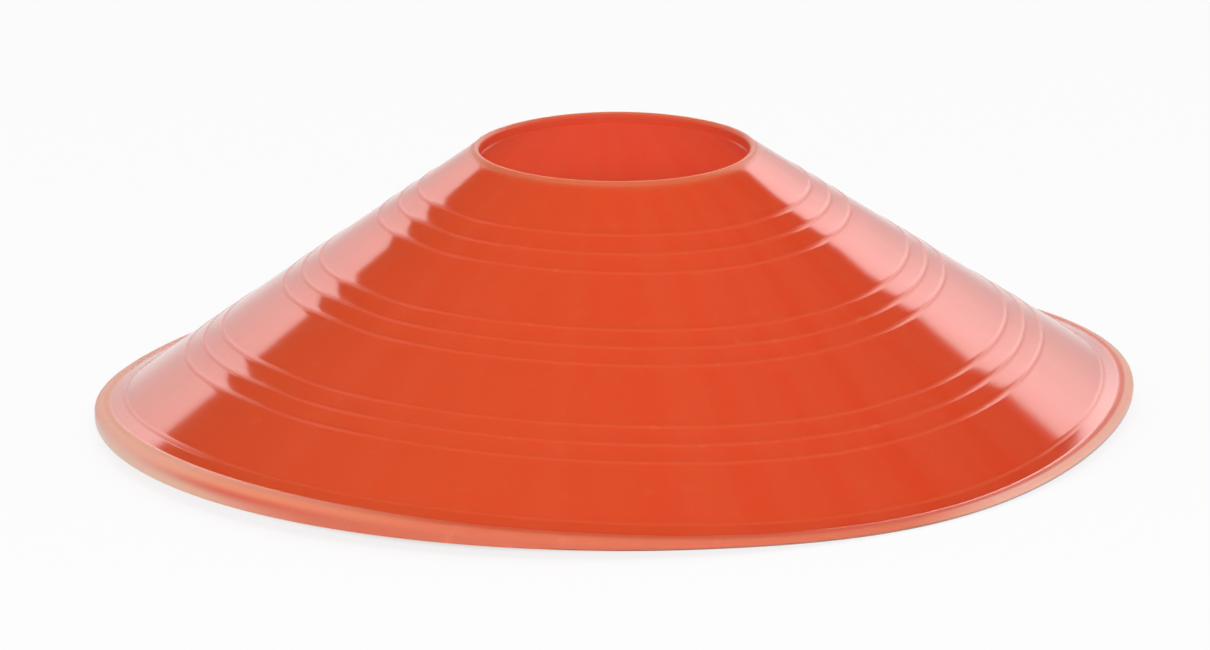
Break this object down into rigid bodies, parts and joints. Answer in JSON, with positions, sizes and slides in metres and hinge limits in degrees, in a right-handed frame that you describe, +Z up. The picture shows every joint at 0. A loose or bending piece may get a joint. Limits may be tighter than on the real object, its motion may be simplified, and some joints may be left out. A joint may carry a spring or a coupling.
{
  "type": "sports marker cone",
  "caption": "Low round field marker: a thin flexible cone shell with an open crown, a ringed wall and a narrow brim with a turned-down edge, laid on the ground to mark a spot.",
  "frame": {"origin": "centre of the rim on the ground, on the cone's axis", "axes": "+Z up along the cone's axis, +X and +Y on the ground"},
  "size_m": [0.19, 0.19, 0.049],
  "materials": {
    "shell": "smooth glossy soft moulded plastic, orange red, slightly translucent"
  },
  "bodies": {
    "root": {"cone_shell": "shell"}
  },
  "joints": []
}
